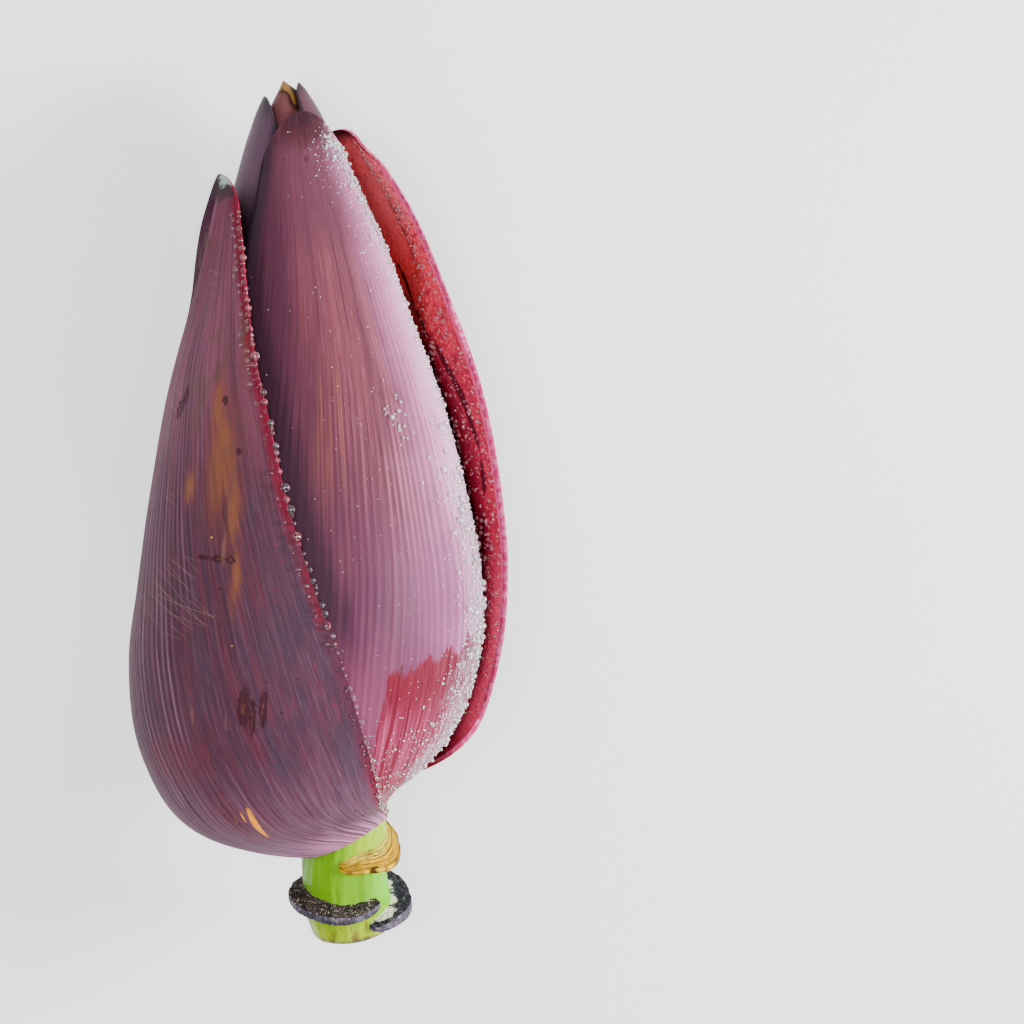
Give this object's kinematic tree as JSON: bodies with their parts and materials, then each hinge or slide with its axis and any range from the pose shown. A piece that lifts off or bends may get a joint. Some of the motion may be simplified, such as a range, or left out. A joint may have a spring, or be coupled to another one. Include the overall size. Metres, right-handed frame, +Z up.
{
  "type": "banana blossom",
  "caption": "Whole purple banana blossom lying on its side: a pointed bud of overlapping ribbed bracts on a short cut green stem with dried bract stubs.",
  "frame": {"origin": "centre of the bounding box's lower face, on the surface that the blossom lies on", "axes": "+Y from the cut stem to the tip, +Z up, +X to the side of the red bract that stands open"},
  "size_m": [0.1102, 0.2516, 0.0988],
  "materials": {
    "bract_left": "waxy dark maroon-purple skin with a bluish bloom and fine long ribs",
    "bract_right": "smooth crimson inner face, mauve ribbed outer face",
    "bract_front": "waxy mauve-pink skin with long ribs and a pale bloom",
    "bract_back_left": "satin grey-purple skin",
    "bract_inner_right": "satin brownish red skin with a dark margin",
    "inner_bud": "satin brick red skin, orange-yellow at the tip",
    "stem": "glossy wet yellow-green plant stem",
    "stub_dark": "dried, granular brown-black",
    "stub_brown": "dried fibrous yellow-brown"
  },
  "bodies": {
    "root": {"bract_left": "bract_left", "bract_right": "bract_right", "bract_front": "bract_front", "bract_back_left": "bract_back_left", "bract_inner_right": "bract_inner_right", "inner_bud": "inner_bud", "stem": "stem", "bract_stub_left": "stub_dark", "bract_stub_right": "stub_dark", "bract_stub_upper": "stub_brown"}
  },
  "joints": []
}
